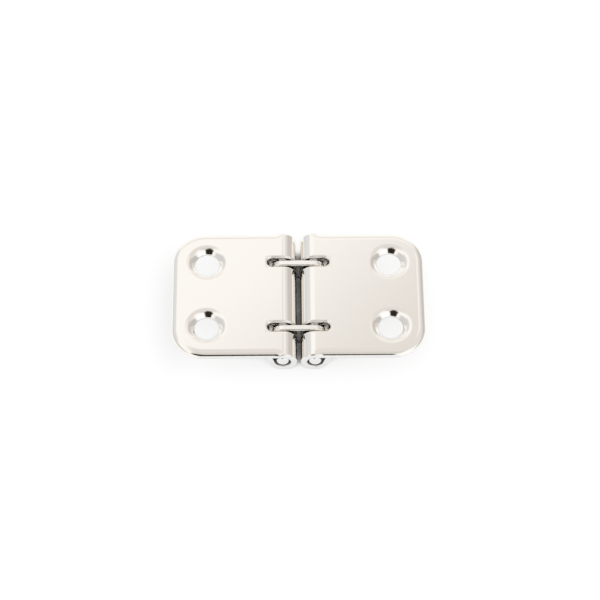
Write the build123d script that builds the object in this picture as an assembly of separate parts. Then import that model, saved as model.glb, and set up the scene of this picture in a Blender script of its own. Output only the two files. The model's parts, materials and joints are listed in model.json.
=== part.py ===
from build123d import *
import os
from math import acos, cos, degrees, pi, radians, sin, tan

# Double-pin flap hinge in polished stainless steel, lying open and flat.
# Units are millimetres. X runs across both leaves, Y along the knuckles, +Z up.
# The origin is under the middle of the hinge, on the surface that the knuckles rest on.

# Driving dimensions of the leaves
overall_length = 60.0       # over both leaves, along X
leaf_depth = 34.0           # along the knuckles, Y
sheet = 1.5                 # sheet thickness
corner_radius = 7.8         # outer corners of a leaf, seen from above
edge_round_width = 1.8      # elliptical round of the top edge: inwards from the side of a leaf
edge_round_depth = 1.1      # and down from its top face
run_out_spare = 0.1         # by which that round clears the sheet where it stops beside the curl
under_edge_chamfer = 0.2    # broken edge on the underside of a leaf

# Driving dimensions of the pins and of the curls that hold them
pin_diameter = 3.0
pin_spacing = 7.6           # between the two pin axes
pin_chamfer = 0.3
pin_recess = 0.1            # from each end of a pin to the end of the knuckle
curl_bore_radius = 1.9      # inside of the rolled edge
pin_top_clearance = 0.2     # between a pin and the underside of the sheet
tail_flare = 15.0           # degrees by which the end of the curl opens outwards
curl_edge_chamfer = 0.3     # broken outer edge at the ends of a curl
bore_edge_chamfer = 0.2     # broken inner edge at the ends of a curl

# Driving dimensions of the screw holes
hole_inset_end = 8.25       # hole axis from the outer end of the leaf
hole_inset_side = 8.2       # hole axis from the long sides of the leaf
screw_hole_diameter = 5.8
countersink_diameter = 8.5
countersink_angle = 90.0
countersink_lip_round = 1.4  # soft lip where the countersink meets the face
countersink_lip_steps = 2   # narrow cones that make up the lip

# Driving dimensions of the links and their slots
link_thickness = 1.5
link_wall = 1.1             # metal around each pin
link_edge_chamfer = 0.2
slot_offset = 9.0           # each slot from the middle of the hinge, along Y
slot_side_clearance = 0.45  # on each side of a link
slot_floor_clearance = 0.1  # under a link: the stop that holds the leaves level
slot_reach = 3.6            # from the pin axis to the outer end of a slot
slot_mouth_chamfer = 0.35   # lead where a slot opens on the face and round the curl

same_place = 0.01           # distance within which two places count as one

# Sizes that follow
pin_radius = pin_diameter / 2
curl_outer_radius = curl_bore_radius + sheet
top_z = 2 * curl_outer_radius
under_z = top_z - sheet
curl_z = top_z - curl_outer_radius
pin_z = under_z - pin_top_clearance - pin_radius
pin_x = pin_spacing / 2
end_x = overall_length / 2
side_y = leaf_depth / 2
link_radius = pin_radius + link_wall
slot_width = link_thickness + 2 * slot_side_clearance
slot_floor_z = pin_z - link_radius - slot_floor_clearance
hole_x = end_x - hole_inset_end
hole_y = side_y - hole_inset_side


def leaf_plate():
    """The flat of the left leaf, up to the line where its curl starts."""
    length = end_x - pin_x
    plan = Rectangle(length, leaf_depth)
    plan = fillet(plan.vertices().group_by(Axis.X)[0], corner_radius)
    plate = extrude(Pos(-pin_x - length / 2, 0, under_z) * plan, sheet)
    under_rim = plate.faces().sort_by(Axis.Z)[0].edges().sort_by(Axis.X)[:-1]
    return chamfer(under_rim, under_edge_chamfer) - edge_cutter()


def edge_path():
    """The outline of the left leaf at its top face, turned away from the sheet at both ends.

    The turns let the round of the edge run out before the curl starts.
    """
    turn_radius = edge_round_width + run_out_spare
    turn = degrees(acos(1 - (edge_round_width + run_out_spare / 2) / turn_radius))
    stop_x = -pin_x - turn_radius
    corner_x = -end_x + corner_radius
    corner_y = side_y - corner_radius
    far_turn = CenterArc((stop_x, side_y + turn_radius), turn_radius, turn - 90, -turn)
    far_side = Line((stop_x, side_y), (corner_x, side_y))
    far_corner = CenterArc((corner_x, corner_y), corner_radius, 90, 90)
    end = Line((-end_x, corner_y), (-end_x, -corner_y))
    near_corner = CenterArc((corner_x, -corner_y), corner_radius, 180, 90)
    near_side = Line((corner_x, -side_y), (stop_x, -side_y))
    near_turn = CenterArc((stop_x, -side_y - turn_radius), turn_radius, 90, -turn)
    outline = Wire([far_turn, far_side, far_corner, end, near_corner, near_side, near_turn])
    return Pos(0, 0, top_z) * outline


def edge_cutter():
    """Cutter for the elliptical round of the top edge, swept along the leaf's outline."""
    width, depth, spare = edge_round_width, edge_round_depth, run_out_spare
    rounding = EllipticalCenterArc((-depth, -width), depth, width, start_angle=0, arc_size=90)
    outside = Polyline(rounding @ 1, (-depth, spare), (spare, spare), (spare, -width), rounding @ 0)
    path = edge_path()
    across = Plane(path @ 0, x_dir=(0, 0, 1), z_dir=path % 0)
    return sweep(across * make_face([rounding, outside]), path)


def curl():
    """The rolled edge of the left leaf: over, down the gap side, under and back up."""
    centre = Vector(-pin_x, curl_z)
    flare = radians(tail_flare)
    away = Vector(-cos(flare), -sin(flare))
    along = Vector(-sin(flare), cos(flare))
    half_turn = radians(90.0 - (270.0 - tail_flare) / 2)
    halfway = Vector(cos(half_turn), sin(half_turn))

    def outline(radius):
        top = centre + Vector(0, radius)
        arc = ThreePointArc(top, centre + halfway * radius, centre + away * radius)
        run = (curl_bore_radius + radius * sin(flare)) / cos(flare)
        tail = Line(arc @ 1, centre + away * radius + along * run)
        return arc, tail

    outer_arc, outer_tail = outline(curl_outer_radius)
    inner_arc, inner_tail = outline(curl_bore_radius)
    tail_end = Line(outer_tail @ 1, inner_tail @ 1)
    root = Line(inner_arc @ 0, outer_arc @ 0)
    section = make_face([outer_arc, outer_tail, tail_end, inner_tail, inner_arc, root])
    rolled = extrude(Plane.XZ * section, side_y, both=True)
    rolled = break_end_arcs(rolled, curl_outer_radius, curl_edge_chamfer)
    return break_end_arcs(rolled, curl_bore_radius, bore_edge_chamfer)


def break_end_arcs(rolled, radius, width):
    """Chamfers the arcs of one radius at both ends of the rolled edge."""

    def is_curl_arc(edge):
        middle = edge @ 0.5
        reach = Vector(middle.X + pin_x, 0, middle.Z - curl_z).length
        on_end = abs(abs(middle.Y) - side_y) < same_place
        return edge.geom_type == GeomType.CIRCLE and on_end and abs(reach - radius) < same_place

    return chamfer(rolled.edges().filter_by(is_curl_arc), width)


def screw_hole():
    """Cutter for a countersunk screw hole whose rim bends in steps out of the flat face."""
    lean = radians(countersink_angle / 2)
    rim = countersink_diameter / 2
    bore = screw_hole_diameter / 2
    land_z = -(rim - bore) / tan(lean)
    soft = countersink_lip_round * tan((pi / 2 - lean) / 2)
    lip = Vector(rim + soft, 0)
    bowl = JernArc(lip, (-1, 0), countersink_lip_round, 90 - countersink_angle / 2)
    bends = [bowl @ (step / countersink_lip_steps) for step in range(countersink_lip_steps + 1)]
    above = [(0, sheet), (lip.X, sheet)]
    below = [(bore, land_z), (bore, -2 * sheet), (0, -2 * sheet)]
    outline = Polyline(*above, *bends, *below, close=True)
    return revolve(Plane.XZ * make_face(outline), Axis.Z)


def slots():
    """Cutters for the two link slots of the left leaf, rounded at their outer ends."""
    length = slot_reach + curl_outer_radius + slot_width
    height = top_z + sheet - slot_floor_z
    plan = SlotOverall(length, slot_width)
    cutter = extrude(plan, height)
    x = -pin_x - slot_reach + length / 2
    return [Pos(x, side * slot_offset, slot_floor_z) * cutter for side in (-1, 1)]


def is_slot_mouth(edge):
    """True for the edges where a slot breaks the top face or the outside of the curl."""
    middle = edge @ 0.5
    in_slot = abs(abs(middle.Y) - slot_offset) < slot_width / 2 + same_place
    above_floor = middle.Z > slot_floor_z + same_place
    reach = Vector(max(middle.X + pin_x, 0), 0, middle.Z - curl_z).length
    return in_slot and above_floor and abs(reach - curl_outer_radius) < same_place


def left_leaf():
    """One folded sheet: flat plate, curl, slots and screw holes."""
    leaf = leaf_plate() + curl()
    for cutter in slots():
        leaf = leaf - cutter
    leaf = chamfer(leaf.edges().filter_by(is_slot_mouth), slot_mouth_chamfer)
    for side in (-1, 1):
        leaf = leaf - Pos(-hole_x, side * hole_y, top_z) * screw_hole()
    return leaf


def pin():
    """A plain rod with chamfered ends, lying along Y about the origin."""
    rod = Rot(90, 0, 0) * Cylinder(pin_radius, leaf_depth - 2 * pin_recess)
    return chamfer(rod.edges().filter_by(GeomType.CIRCLE), pin_chamfer)


def link():
    """A flat plate with round ends and a pin hole in each, standing on edge."""
    section = SlotCenterToCenter(pin_spacing, 2 * link_radius)
    for side in (-1, 1):
        section = section - Pos(side * pin_x, 0) * Circle(pin_radius)
    plate = extrude(Plane.XZ * section, link_thickness / 2, both=True)
    outline = [edge for face in plate.faces().filter_by(Axis.Y) for edge in face.outer_wire().edges()]
    return chamfer(outline, link_edge_chamfer)


os.makedirs("parts", exist_ok=True)
leaf = left_leaf()
nodes = {
    "left_leaf": leaf,
    "right_leaf": Rot(0, 0, 180) * leaf,
    "left_pin": Pos(-pin_x, 0, pin_z) * pin(),
    "right_pin": Pos(pin_x, 0, pin_z) * pin(),
    "front_link": Pos(0, -slot_offset, pin_z) * link(),
    "rear_link": Pos(0, slot_offset, pin_z) * link(),
}
for name, shape in nodes.items():
    export_step(shape, f"parts/{name}.step")
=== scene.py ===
import json
import math

import bmesh
import bpy
from mathutils import Matrix, Vector


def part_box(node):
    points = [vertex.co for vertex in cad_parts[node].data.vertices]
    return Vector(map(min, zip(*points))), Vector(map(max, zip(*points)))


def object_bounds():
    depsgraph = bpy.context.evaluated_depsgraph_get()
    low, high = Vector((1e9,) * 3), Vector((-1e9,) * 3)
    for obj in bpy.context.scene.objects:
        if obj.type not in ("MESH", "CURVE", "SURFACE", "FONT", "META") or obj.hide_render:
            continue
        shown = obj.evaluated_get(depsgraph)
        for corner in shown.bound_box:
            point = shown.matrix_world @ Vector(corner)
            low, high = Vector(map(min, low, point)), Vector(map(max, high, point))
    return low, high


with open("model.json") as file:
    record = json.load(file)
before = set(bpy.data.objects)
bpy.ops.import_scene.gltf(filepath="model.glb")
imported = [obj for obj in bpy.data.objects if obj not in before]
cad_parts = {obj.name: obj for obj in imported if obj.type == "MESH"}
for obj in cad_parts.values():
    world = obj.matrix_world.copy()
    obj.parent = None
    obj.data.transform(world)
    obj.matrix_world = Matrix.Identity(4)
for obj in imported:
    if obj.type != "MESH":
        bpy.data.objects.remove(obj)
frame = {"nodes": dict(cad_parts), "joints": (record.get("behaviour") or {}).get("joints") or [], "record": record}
cad_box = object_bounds()

# Camera, as fitted to the photograph: lengths in metres, angles in degrees
CAMERA_ELEVATION = 58.79
CAMERA_AZIMUTH = 0.74
CAMERA_ROLL = 0.25
CAMERA_DISTANCE = 0.524
CAMERA_AIM = Vector((0.00036, -0.00187, 0.0068))
FOCAL_PIXELS = 2211.0
IMAGE_PIXELS = 600.0
SENSOR_WIDTH = 36.0         # in millimetres

# Studio that the polished steel reflects: soft ovals on the inside of a dome, each laid over the
# ones before it. Each has the compass direction of its centre (degrees from +Y towards +X), height,
# half width, half height, softness of its edge as a share of its size, and colour.
DOME_RADIUS = 1.5
DOME_SUBDIVISIONS = 5
STUDIO_WALLS = (1.02, 1.01, 0.99)
STUDIO_PATCHES = {
    "ceiling": (65, 51.9, 29.9, 60, 0.1, (0.80, 0.77, 0.75)),
    "overhead": (180, 66, 24, 17, 0.3, (0.71, 0.69, 0.66)),
    "back_wall": (0, 38, 24, 8, 0.3, (0.87, 0.84, 0.81)),
    "back_window": (24, 55, 6, 7, 0.3, (0.95, 0.93, 0.90)),
    "right_side": (56, 14, 26, 27, 0.35, (0.605, 0.57, 0.55)),
    "left_side": (-60, 18, 26, 34, 0.17, (0.76, 0.775, 0.80)),
    "right_corner": (95, 12, 24, 14, 0.3, (0.56, 0.55, 0.54)),
    "left_corner": (-95, 12, 38, 22, 0.25, (0.68, 0.67, 0.68)),
    "front_window": (142, 28, 20, 14, 0.25, (1.06, 1.07, 1.12)),
    "dark_screen": (-164, 40, 21, 16, 0.14, (0.025, 0.020, 0.016)),
}
STUDIO_LIGHT = 0.95         # strength of the white surroundings as light on the floor

# Floor: openness is the share of the sky that nothing near a point hides; it darkens the floor's glow as painted
# contact shade and a painted soft shadow
FLOOR_HALF_SIZE = 0.6
FLOOR_PALE = 0.9
FLOOR_LIT_SHARE = 0.14      # part of the floor's white that is lit by the studio
FLOOR_GLOW = 0.9            # part that shows as plain white, apart from the painted shade
OPENNESS_SAMPLES = 16
CONTACT_REACH = 0.009       # how far off a surface still darkens the floor's glow, as painted shade
CONTACT_CLOSED = 0.075      # openness below which the floor's glow is painted dark
CONTACT_CLEAR = 0.33        # and above which it shows no painted contact shade
SHADOW_REACH = 0.02         # how far the painted soft shadow of a leaf spreads
SHADOW_STRENGTH = 0.12      # its strength
PAINTED_SIDE_SHADOW = 0.42          # its strength on the left side of the hinge, where the painted shadow is darker
SIDE_X = (-0.024, -0.034)   # between these places it grows to that

# Steel: colours, and the roughness of each finish
STEEL_COLOR = (0.955, 0.93, 0.885)
PIN_COLOR = (0.85, 0.85, 0.85)
BORE_COLOR = (0.85, 0.83, 0.81)
CUT_COLOR = (0.83, 0.83, 0.83)
POLISH_ROUGHNESS = 0.04
POLISH_SPREAD = 0.04        # added where the polish is hazy
BORE_ROUGHNESS = 0.45
SLOT_ROUGHNESS = 0.1
SLOT_LIP_ROUGHNESS = 0.42
UNDERSIDE_ROUGHNESS = 0.2

# Fine lines of the polish: how often they change per metre, along each axis
LEAF_GRAIN = (60, 3000, 3000)
PIN_GRAIN = (4000, 200, 4000)
LINK_GRAIN = (80, 4000, 4000)
LINE_DETAIL = 3.0
LINE_BUMP = 0.05
LINE_DEPTH = 0.00001

# Haze of the polish, which comes out where lines and haze multiply to more than the first value
HAZE_SCALE = 90.0
HAZE_DETAIL = 4.0
HAZE_RANGE = (0.1, 0.5)

# Width over which an edge looks broken
LEAF_EDGE = 0.0005
PIN_EDGE = 0.00035
LINK_EDGE = 0.0003
EDGE_SAMPLES = 8

# Places on a leaf, in metres, from the frame
PIN_X = abs(frame["joints"][0]["pos_m"][0])
TOP_Z = cad_box[1][2]
CURL_Z = TOP_Z / 2
UNDER_Z = frame["record"]["mounts"][0]["pos_m"][2]
BORE_RADIUS = CURL_Z - (TOP_Z - UNDER_Z)
BORE_MARGIN = 0.0001        # the bored surface counts as interior up to this far outside it
UNDER_MARGIN = 0.0003       # above the underside, for its broken edge
CUT_Y = cad_box[1][1] - 0.0002   # past this the cut ends of the sheet start

# Places of the slots, whose walls stand a little outside the links
LINK_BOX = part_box("rear_link")
SLOT_Y = (LINK_BOX[0][1] + LINK_BOX[1][1]) / 2
SLOT_SIDE_GAP = 0.00047
SLOT_HALF_WIDTH = (LINK_BOX[1][1] - LINK_BOX[0][1]) / 2 + SLOT_SIDE_GAP
SLOT_REACH = 0.0037         # from the pin's axis to the outer end of a slot
SLOT_END_X = PIN_X + SLOT_REACH
SLOT_FLOOR_GAP = 0.00015
SLOT_FLOOR_Z = LINK_BOX[0][2] - SLOT_FLOOR_GAP
SLOT_LIP = 0.00036          # width of the broken edge round a slot


def add_node(tree, kind, **settings):
    """Adds a shader node. Settings are its properties, or its input values under their names."""
    node = tree.nodes.new("ShaderNode" + kind)
    for name, value in settings.items():
        if hasattr(node, name):
            setattr(node, name, value)
        else:
            node.inputs[name.replace("_", " ")].default_value = value
    return node


def plug(tree, socket, value):
    """Feeds a socket from another socket, or sets its value."""
    if isinstance(value, bpy.types.NodeSocket):
        tree.links.new(value, socket)
    else:
        socket.default_value = value


def math_node(tree, operation, first, second=0.0):
    """A Math node whose two inputs are sockets or numbers."""
    node = add_node(tree, "Math", operation=operation)
    plug(tree, node.inputs[0], first)
    plug(tree, node.inputs[1], second)
    return node.outputs[0]


def mix_colors(tree, factor, first, second):
    """Mixes two colours, each a socket or a triple, by a factor socket."""
    node = add_node(tree, "Mix", data_type="RGBA")
    tree.links.new(factor, node.inputs[0])
    for socket, color in zip(node.inputs[6:8], (first, second)):
        plug(tree, socket, color if isinstance(color, bpy.types.NodeSocket) else (*color, 1.0))
    return node.outputs[2]


def mix_shaders(tree, factor, first, second):
    """Mixes two shader nodes by a factor socket."""
    node = add_node(tree, "MixShader")
    tree.links.new(factor, node.inputs[0])
    tree.links.new(first.outputs[0], node.inputs[1])
    tree.links.new(second.outputs[0], node.inputs[2])
    return node


def ramp(tree, value, low, high, start=0.0, end=1.0, smooth=True):
    """Runs from start where value is low to end where it is high."""
    kind = "SMOOTHSTEP" if smooth else "LINEAR"
    node = add_node(tree, "MapRange", interpolation_type=kind)
    tree.links.new(value, node.inputs[0])
    for socket, number in zip(node.inputs[1:5], (low, high, start, end)):
        socket.default_value = number
    return node.outputs[0]


def dot(tree, vector, direction):
    """Dot product of a vector socket and a fixed direction."""
    node = add_node(tree, "VectorMath", operation="DOT_PRODUCT")
    tree.links.new(vector, node.inputs[0])
    node.inputs[1].default_value = direction
    return node.outputs["Value"]


def noise(tree, coordinates, scale, detail):
    """Strength of a noise pattern at the coordinates."""
    node = add_node(tree, "TexNoise", Scale=scale, Detail=detail)
    tree.links.new(coordinates, node.inputs["Vector"])
    return node.outputs[0]


def new_material(name):
    """A material with an empty node tree, and that tree."""
    material = bpy.data.materials.new(name)
    material.use_nodes = True
    material.node_tree.nodes.clear()
    return material, material.node_tree


def finish_tree(tree, shader, output="OutputMaterial"):
    """Makes a shader node the result of a material or world."""
    tree.links.new(shader.outputs[0], add_node(tree, output).inputs[0])


def add_stage_object(name, mesh, material):
    """An object of the studio, in one material."""
    mesh.materials.append(material)
    stage_object = bpy.data.objects.new(name, mesh)
    bpy.context.scene.collection.objects.link(stage_object)
    return stage_object


def add_camera():
    """A long lens looking down on the hinge from its front, turned slightly clockwise."""
    elevation = math.radians(CAMERA_ELEVATION)
    azimuth = math.radians(CAMERA_AZIMUTH)
    back = Vector((
        -math.sin(azimuth) * math.cos(elevation),
        -math.cos(azimuth) * math.cos(elevation),
        math.sin(elevation),
    ))
    right = Vector((math.cos(azimuth), -math.sin(azimuth), 0.0))
    level = Matrix((right, back.cross(right), back)).transposed()
    turn = level @ Matrix.Rotation(math.radians(CAMERA_ROLL), 3, "Z")
    data = bpy.data.cameras.new("camera")
    data.sensor_width = SENSOR_WIDTH
    data.lens = FOCAL_PIXELS * SENSOR_WIDTH / IMAGE_PIXELS
    camera = bpy.data.objects.new("camera", data)
    camera.matrix_world = Matrix.Translation(CAMERA_AIM + back * CAMERA_DISTANCE) @ turn.to_4x4()
    bpy.context.scene.collection.objects.link(camera)
    bpy.context.scene.camera = camera


def oval_mask(tree, direction, compass, height, half_width, half_height, softness):
    """1 inside an oval part of the dome and 0 outside it."""
    turn = math.radians(compass)
    rise = math.radians(height)
    flat = Vector((math.sin(turn), math.cos(turn), 0.0))
    centre = flat * math.cos(rise) + Vector((0, 0, math.sin(rise)))
    across = Vector((math.cos(turn), -math.sin(turn), 0.0))
    upward = centre.cross(across)
    u = dot(tree, direction, across / math.sin(math.radians(half_width)))
    v = dot(tree, direction, upward / math.sin(math.radians(half_height)))
    squares = [math_node(tree, "POWER", length, 2.0) for length in (u, v)]
    squared = math_node(tree, "ADD", *squares)
    inside = ramp(tree, squared, 1 + 2 * softness, 1 - 2 * softness)
    ahead = math_node(tree, "GREATER_THAN", dot(tree, direction, centre), 0.0)
    return math_node(tree, "MULTIPLY", inside, ahead)


def dome_material():
    """The studio's walls with their screens and windows, by direction from the hinge."""
    material, tree = new_material("studio_dome")
    direction = add_node(tree, "VectorMath", operation="NORMALIZE")
    tree.links.new(add_node(tree, "TexCoord").outputs["Object"], direction.inputs[0])
    color = STUDIO_WALLS
    for *oval, tone in STUDIO_PATCHES.values():
        color = mix_colors(tree, oval_mask(tree, direction.outputs[0], *oval), color, tone)
    glow = add_node(tree, "Emission")
    tree.links.new(color, glow.inputs["Color"])
    finish_tree(tree, glow)
    return material


def add_dome():
    """The studio as the steel reflects it. The camera doesn't see it, and it lights nothing."""
    shell = bmesh.new()
    bmesh.ops.create_icosphere(shell, subdivisions=DOME_SUBDIVISIONS, radius=DOME_RADIUS)
    mesh = bpy.data.meshes.new("studio_dome")
    shell.to_mesh(mesh)
    shell.free()
    dome = add_stage_object("studio_dome", mesh, dome_material())
    dome.visible_camera = False
    dome.visible_diffuse = False
    dome.visible_shadow = False


def seen_directly(tree):
    """1 for what the camera sees, also in a mirror or through glass, and 0 for light."""
    path = add_node(tree, "LightPath")
    direct = math_node(tree, "MAXIMUM", path.outputs["Is Camera Ray"], path.outputs["Is Glossy Ray"])
    return math_node(tree, "MAXIMUM", direct, path.outputs["Is Transmission Ray"])


def add_world():
    """Plain white surroundings, which also light the scene."""
    world = bpy.data.worlds.new("studio")
    bpy.context.scene.world = world
    world.use_nodes = True
    tree = world.node_tree
    tree.nodes.clear()
    light = add_node(tree, "Background", Color=(1, 1, 1, 1), Strength=STUDIO_LIGHT)
    white = add_node(tree, "Background", Color=(1, 1, 1, 1), Strength=1.0)
    finish_tree(tree, mix_shaders(tree, seen_directly(tree), light, white), "OutputWorld")


def openness(tree, reach):
    """Share of the sky over a point of the floor that nothing within reach hides."""
    sky = add_node(tree, "AmbientOcclusion", samples=OPENNESS_SAMPLES, Distance=reach)
    return sky.outputs["AO"]


def painted_shadow_light(tree):
    """Share of the floor's glow that a painted soft shadow of a leaf lets through, stronger on the left."""
    place = add_node(tree, "SeparateXYZ")
    tree.links.new(add_node(tree, "TexCoord").outputs["Object"], place.inputs[0])
    strength = ramp(tree, place.outputs[0], *SIDE_X, SHADOW_STRENGTH, PAINTED_SIDE_SHADOW)
    hidden = math_node(tree, "SUBTRACT", 1.0, openness(tree, SHADOW_REACH))
    return math_node(tree, "SUBTRACT", 1.0, math_node(tree, "MULTIPLY", hidden, strength))


def floor_material():
    """Pale floor that looks white in the open. Its lit share takes real shade, and its glow has painted shade
    where the hinge closes it in.
    """
    material, tree = new_material("floor")
    pale = add_node(tree, "BsdfDiffuse", Color=(FLOOR_PALE, FLOOR_PALE, FLOOR_PALE, 1))
    lit = add_node(tree, "BsdfDiffuse", Color=(FLOOR_LIT_SHARE, FLOOR_LIT_SHARE, FLOOR_LIT_SHARE, 1))
    # painted contact shade: the glow dims where the hinge hides the floor's sky
    open_sky = openness(tree, CONTACT_REACH)
    strength = ramp(tree, open_sky, CONTACT_CLOSED, CONTACT_CLEAR, 0.0, FLOOR_GLOW)
    glow = add_node(tree, "Emission")
    # painted soft shadow of a leaf, multiplied into the glow
    plug(tree, glow.inputs["Strength"], math_node(tree, "MULTIPLY", strength, painted_shadow_light(tree)))
    seen = add_node(tree, "AddShader")
    tree.links.new(lit.outputs[0], seen.inputs[0])
    tree.links.new(glow.outputs[0], seen.inputs[1])
    finish_tree(tree, mix_shaders(tree, seen_directly(tree), pale, seen))
    return material


def add_floor():
    """The plain surface that the hinge lies on."""
    half = FLOOR_HALF_SIZE
    corners = [(-half, -half, 0), (half, -half, 0), (half, half, 0), (-half, half, 0)]
    mesh = bpy.data.meshes.new("floor")
    mesh.from_pydata(corners, [], [(0, 1, 2, 3)])
    add_stage_object("floor", mesh, floor_material())


def place_on_leaf(tree, coordinates):
    """Distance from the middle of the hinge along X and along Y, and height, as sockets."""
    place = add_node(tree, "SeparateXYZ")
    tree.links.new(coordinates, place.inputs[0])
    x = math_node(tree, "ABSOLUTE", place.outputs[0])
    y = math_node(tree, "ABSOLUTE", place.outputs[1])
    return x, y, place.outputs[2]


def slot_mask(tree, coordinates, margin):
    """1 in the slots of a leaf, and round them up to a margin."""
    x, y, z = place_on_leaf(tree, coordinates)
    from_slot = math_node(tree, "ABSOLUTE", math_node(tree, "SUBTRACT", y, SLOT_Y))
    beside = math_node(tree, "LESS_THAN", from_slot, SLOT_HALF_WIDTH + margin)
    along = math_node(tree, "LESS_THAN", x, SLOT_END_X + margin)
    above = math_node(tree, "GREATER_THAN", z, SLOT_FLOOR_Z)
    return math_node(tree, "MULTIPLY", math_node(tree, "MULTIPLY", beside, along), above)


def bore_mask(tree, coordinates):
    """1 inside the curl of a leaf, which the polishing wheel doesn't reach."""
    x, _, z = place_on_leaf(tree, coordinates)
    away = math_node(tree, "SUBTRACT", x, PIN_X)
    above = math_node(tree, "SUBTRACT", z, CURL_Z)
    squares = [math_node(tree, "POWER", length, 2.0) for length in (away, above)]
    from_axis = math_node(tree, "SQRT", math_node(tree, "ADD", *squares))
    return math_node(tree, "LESS_THAN", from_axis, BORE_RADIUS + BORE_MARGIN)


def under_mask(tree, coordinates):
    """1 on the flat underside of a leaf."""
    x, _, z = place_on_leaf(tree, coordinates)
    low = math_node(tree, "LESS_THAN", z, UNDER_Z + UNDER_MARGIN)
    outside = math_node(tree, "GREATER_THAN", x, SLOT_END_X)
    return math_node(tree, "MULTIPLY", low, outside)


def cut_mask(tree, coordinates):
    """1 on the cut ends of a leaf's sheet, which are less polished than its faces."""
    _, y, _ = place_on_leaf(tree, coordinates)
    return math_node(tree, "GREATER_THAN", y, CUT_Y)


def fine_lines(tree, coordinates, grain):
    """Noise stretched into the fine lines that polishing leaves."""
    stretch = add_node(tree, "Mapping", Scale=grain)
    tree.links.new(coordinates, stretch.inputs[0])
    return noise(tree, stretch.outputs[0], 1.0, LINE_DETAIL)


def polish_roughness(tree, coordinates, lines):
    """Roughness of polished steel, a little higher where the polish is hazy."""
    haze = noise(tree, coordinates, HAZE_SCALE, HAZE_DETAIL)
    both = math_node(tree, "MULTIPLY", lines, haze)
    hazy = POLISH_ROUGHNESS + POLISH_SPREAD
    return ramp(tree, both, *HAZE_RANGE, POLISH_ROUGHNESS, hazy, smooth=False)


def leaf_roughness(tree, coordinates, polish):
    """Roughness of a leaf: its polish, and rougher finishes where the wheel doesn't reach."""
    slot = slot_mask(tree, coordinates, 0.0)
    lip = math_node(tree, "SUBTRACT", slot_mask(tree, coordinates, SLOT_LIP), slot)
    finishes = (
        (bore_mask(tree, coordinates), BORE_ROUGHNESS),
        (slot, SLOT_ROUGHNESS),
        (lip, SLOT_LIP_ROUGHNESS),
        (under_mask(tree, coordinates), UNDERSIDE_ROUGHNESS),
    )
    roughness = polish
    for mask, rough in finishes:
        roughness = math_node(tree, "MAXIMUM", roughness, math_node(tree, "MULTIPLY", mask, rough))
    return roughness


def leaf_color(tree, coordinates):
    """Colour of a leaf, which is greyer on its cut ends and inside its curl."""
    outside = mix_colors(tree, cut_mask(tree, coordinates), STEEL_COLOR, CUT_COLOR)
    return mix_colors(tree, bore_mask(tree, coordinates), outside, BORE_COLOR)


def surface_normal(tree, lines, edge):
    """Normal with softly broken edges and faint relief along the fine lines."""
    rounded = add_node(tree, "Bevel", samples=EDGE_SAMPLES, Radius=edge)
    bump = add_node(tree, "Bump", Strength=LINE_BUMP, Distance=LINE_DEPTH)
    tree.links.new(lines, bump.inputs["Height"])
    tree.links.new(rounded.outputs[0], bump.inputs["Normal"])
    return bump.outputs[0]


def steel(name, grain, edge, color):
    """Polished stainless steel of one colour, for the pins and links."""
    material, tree = new_material(name)
    bsdf = add_node(tree, "BsdfPrincipled", Base_Color=(*color, 1), Metallic=1.0)
    coordinates = add_node(tree, "TexCoord").outputs["Object"]
    lines = fine_lines(tree, coordinates, grain)
    tree.links.new(polish_roughness(tree, coordinates, lines), bsdf.inputs["Roughness"])
    tree.links.new(surface_normal(tree, lines, edge), bsdf.inputs["Normal"])
    finish_tree(tree, bsdf)
    return material


def leaf_steel():
    """The same steel with the finishes of a leaf's slots, bore, underside and cut ends."""
    material = steel("leaf_steel", LEAF_GRAIN, LEAF_EDGE, STEEL_COLOR)
    tree = material.node_tree
    bsdf = tree.nodes["Principled BSDF"]
    coordinates = add_node(tree, "TexCoord").outputs["Object"]
    polish = bsdf.inputs["Roughness"].links[0].from_socket
    tree.links.new(leaf_roughness(tree, coordinates, polish), bsdf.inputs["Roughness"])
    tree.links.new(leaf_color(tree, coordinates), bsdf.inputs["Base Color"])
    return material


def dress(names, material):
    """Gives each piece its material."""
    for name in names:
        for slot in frame["nodes"][name].material_slots:
            slot.material = material


bpy.context.scene.view_settings.view_transform = "Standard"
add_camera()
add_world()
add_dome()
add_floor()
dress(["left_leaf", "right_leaf"], leaf_steel())
dress(["left_pin", "right_pin"], steel("pin_steel", PIN_GRAIN, PIN_EDGE, PIN_COLOR))
dress(["front_link", "rear_link"], steel("link_steel", LINK_GRAIN, LINK_EDGE, STEEL_COLOR))
